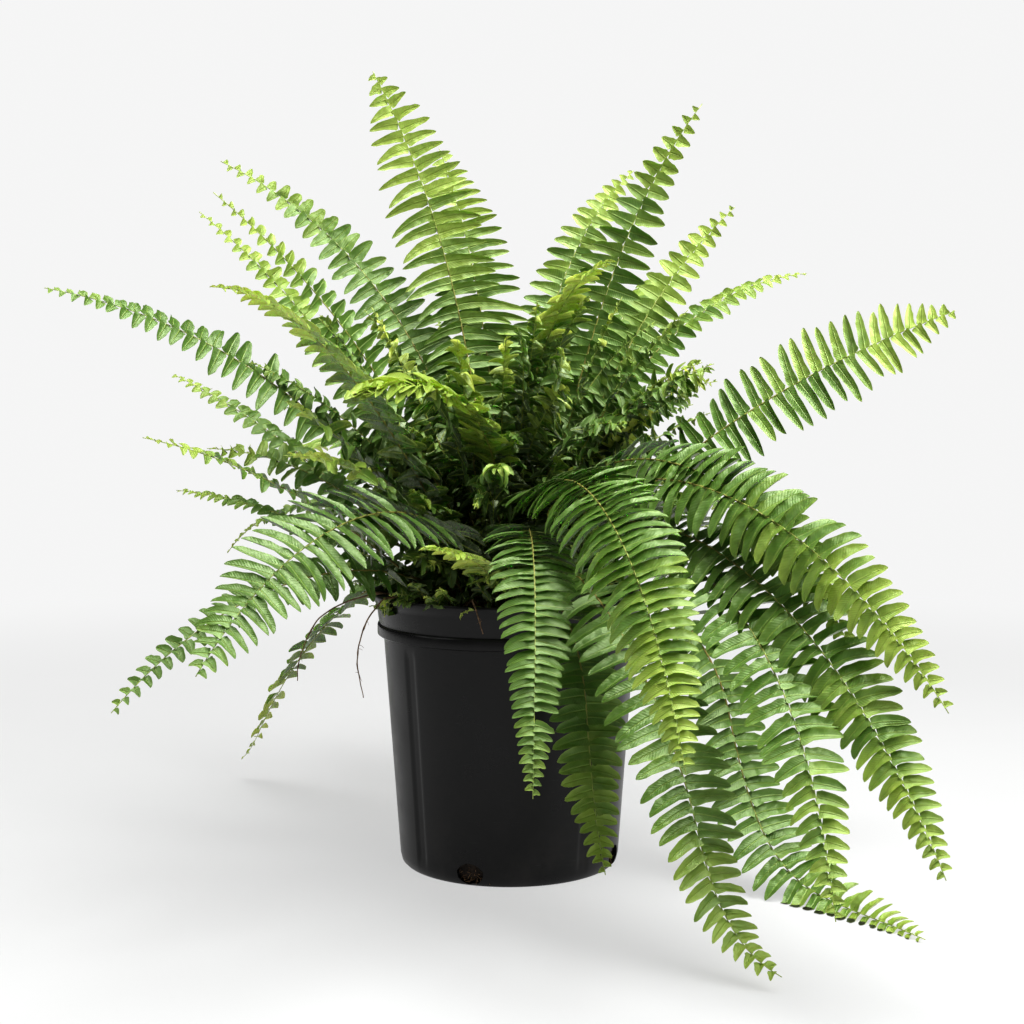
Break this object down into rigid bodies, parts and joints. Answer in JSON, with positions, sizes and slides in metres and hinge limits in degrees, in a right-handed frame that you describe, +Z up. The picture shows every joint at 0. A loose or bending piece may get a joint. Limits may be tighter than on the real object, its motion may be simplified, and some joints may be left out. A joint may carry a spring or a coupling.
{
  "type": "potted fern",
  "caption": "Sword fern with long arching fronds of toothed leaflets, growing in a round flared nursery pot; some fronds hang over the rim and rest on the ground.",
  "frame": {"origin": "centre of the pot's flat base, on the surface that it stands on", "axes": "+Z up, -Y towards the side seen in the picture, where the hanging fronds are, +X to the right of that view"},
  "size_m": [0.7098, 0.8556, 0.6575],
  "materials": {
    "pot_plastic": "black moulded plastic, satin, lightly scuffed",
    "potting_soil": "dark crumbly potting soil bound by roots",
    "rootstock": "brown scaly rootstock",
    "dry_runner": "dry brown wiry threads",
    "leaf": "mid to dark green, slightly glossy leaflets on a golden brown rib",
    "young_leaf": "light yellow green, thin young leaflets"
  },
  "bodies": {
    "root": {"pot": "pot_plastic", "soil": "potting_soil", "crown": "rootstock", "runner_1": "dry_runner", "runner_2": "dry_runner", "runner_3": "dry_runner", "frond_top_left_1": "young_leaf", "frond_top_left_2": "leaf", "frond_top_left_3": "leaf", "frond_top_left_4": "leaf", "frond_top_left_5": "leaf", "frond_top_left_6": "leaf", "frond_left_1": "leaf", "frond_left_2": "leaf", "frond_left_3": "leaf", "frond_left_4": "leaf", "frond_left_5": "leaf", "frond_low_left_1": "leaf", "frond_low_left_2": "leaf", "frond_low_left_3": "leaf", "frond_middle_1": "young_leaf", "frond_middle_2": "young_leaf", "frond_middle_3": "leaf", "frond_middle_4": "leaf", "frond_top_right_1": "leaf", "frond_top_right_2": "leaf", "frond_top_right_3": "young_leaf", "frond_top_right_4": "leaf", "frond_top_right_5": "leaf", "frond_right_1": "leaf", "frond_right_2": "leaf", "frond_right_3": "leaf", "frond_right_4": "leaf", "frond_front_1": "leaf", "frond_front_2": "leaf", "frond_front_3": "leaf", "frond_floor_1": "leaf", "frond_floor_2": "leaf", "frond_floor_3": "leaf", "frond_back_1": "leaf", "frond_back_2": "leaf", "frond_back_3": "leaf", "frond_back_4": "leaf", "frond_back_5": "leaf", "frond_back_6": "leaf", "frond_back_right": "leaf", "frond_young_1": "young_leaf", "frond_young_2": "young_leaf", "frond_young_3": "young_leaf", "frond_young_4": "young_leaf", "frond_young_5": "young_leaf", "frond_young_6": "young_leaf"}
  },
  "joints": []
}
